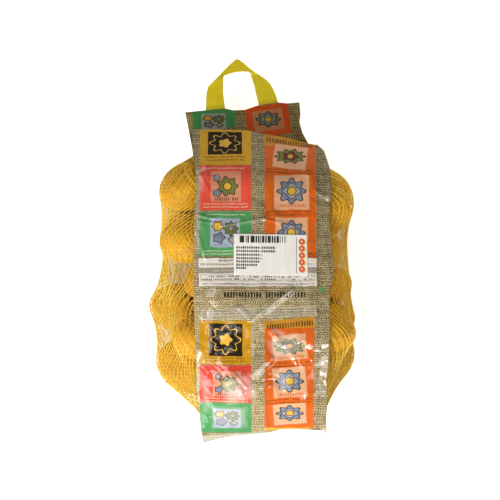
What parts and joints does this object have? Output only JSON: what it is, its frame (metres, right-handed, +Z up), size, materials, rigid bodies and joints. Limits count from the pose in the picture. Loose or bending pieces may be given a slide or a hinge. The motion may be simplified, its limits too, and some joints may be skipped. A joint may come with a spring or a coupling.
{
  "type": "net bag of potatoes",
  "caption": "Net bag of washed yellow potatoes lying on its back, with a printed film band down its front and back and a flat tape carrying handle on the header.",
  "frame": {"origin": "under the middle of the bag, on the surface it lies on", "axes": "+X to the right of the printed front, +Y along the bag towards the carrying handle, +Z up out of the printed front"},
  "size_m": [0.2047, 0.3835, 0.1301],
  "materials": {
    "potatoes_in_net": "yellow potato skin, satin, seen through a fine yellow knitted polyethylene net",
    "printed_film": "glossy wrinkled plastic film printed with a sacking weave and fields of orange, green, red and yellow",
    "handle_tape": "flat yellow plastic tape, satin, with pressed creases",
    "label_paper": "white paper label with plain black bars and lines"
  },
  "bodies": {
    "root": {"net_bag": "potatoes_in_net", "film_front": "printed_film", "film_back": "printed_film", "handle": "handle_tape", "label": "label_paper"}
  },
  "joints": []
}
